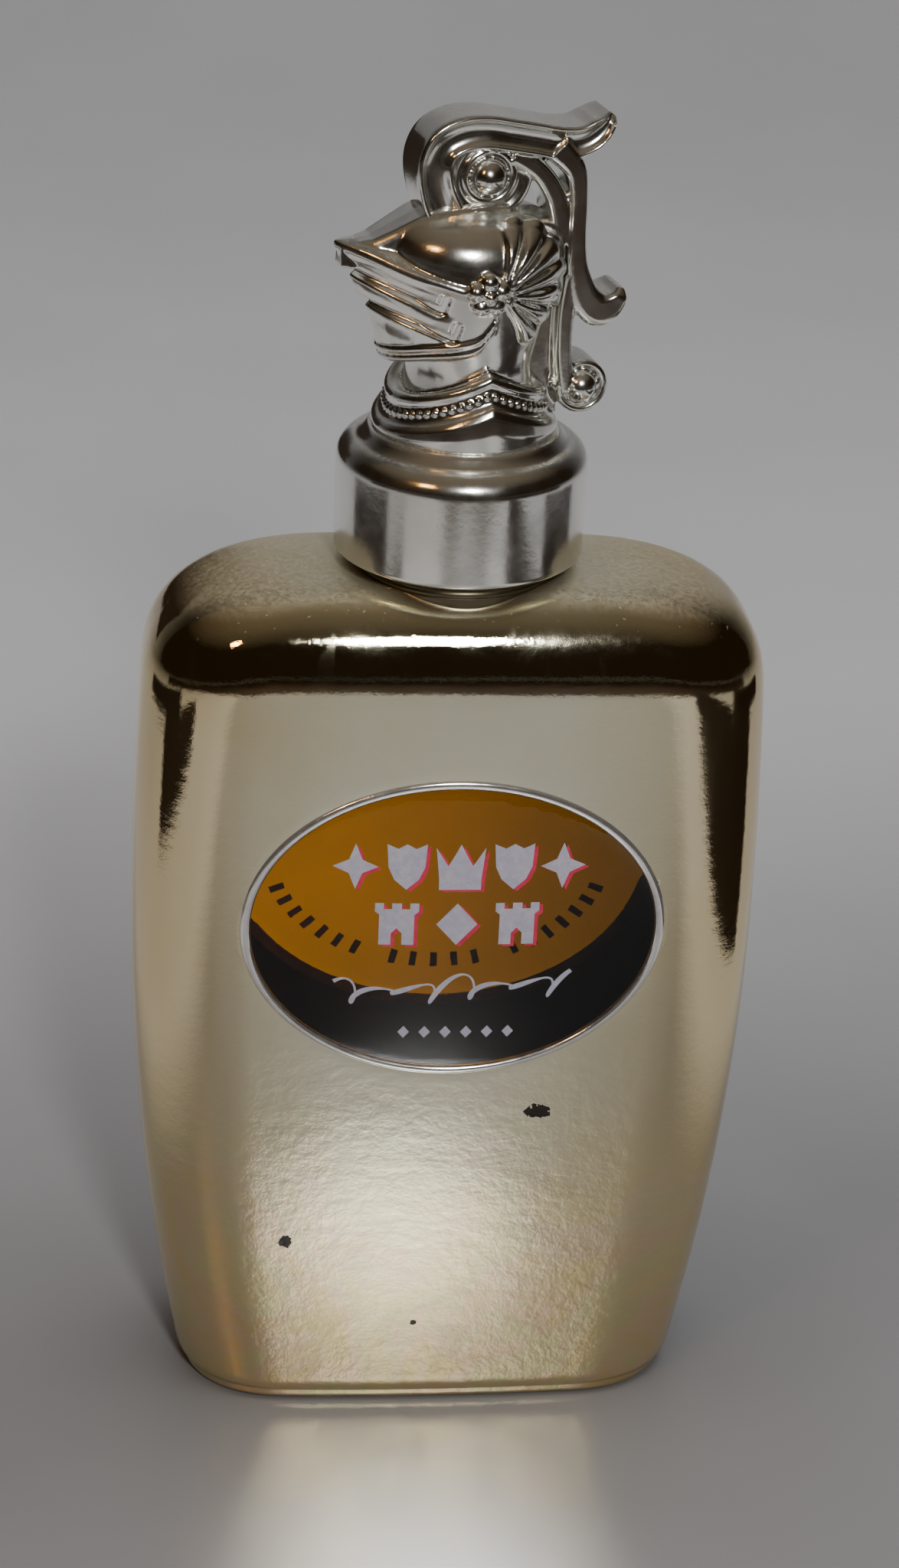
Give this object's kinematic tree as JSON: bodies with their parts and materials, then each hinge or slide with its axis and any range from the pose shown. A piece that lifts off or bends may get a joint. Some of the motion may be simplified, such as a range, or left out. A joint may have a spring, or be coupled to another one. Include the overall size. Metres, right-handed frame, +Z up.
{
  "type": "aftershave bottle",
  "caption": "Tapered gold-mirrored glass decanter flask with oval amber windows and a silvered screw cap shaped as a knight's helmet with a scrolled plume.",
  "frame": {"origin": "centre of the foot that the flask stands on", "axes": "+Z up along the neck, front window faces -Y, width along X"},
  "size_m": [0.0938, 0.0414, 0.2013],
  "materials": {
    "clear_glass": "smooth clear moulded glass",
    "gold_mirror_lacquer": "thin champagne-gold mirror metallising under clear lacquer, with haze, scratches and small chips",
    "bright_bezel": "bright silver metal rim, slightly worn",
    "amber_lotion": "clear amber liquid",
    "natural_plastic": "natural translucent polyethylene",
    "seal_foam": "foamed liner disc",
    "white_plastic": "plain moulded white plastic",
    "silvered_plastic": "vacuum-metallised silver plastic, slightly warm, with dust in the folds"
  },
  "bodies": {
    "bottle": {"glass_flask": "clear_glass", "gold_plating": "gold_mirror_lacquer", "front_bezel": "bright_bezel", "back_bezel": "bright_bezel", "lotion": "amber_lotion", "pour_plug": "natural_plastic"},
    "seal": {"seal_disc": "seal_foam"},
    "cap": {"closure_insert": "white_plastic", "cap_shell": "silvered_plastic", "helmet": "silvered_plastic", "plume": "silvered_plastic"}
  },
  "joints": [
    {"name": "cap_lift", "type": "slide", "parent": "bottle", "child": "seal", "axis": [0, 0, 1], "range_m": [0, 0.0053]},
    {"name": "cap_unscrew", "type": "hinge", "parent": "seal", "child": "cap", "pos_m": [0, 0, 0.142], "axis": [0, 0, 1], "range_deg": [0, 450]}
  ],
  "couplings": [
    {"joint": "cap_lift", "follows": "cap_unscrew", "m_per_rad": 0.0006737}
  ]
}
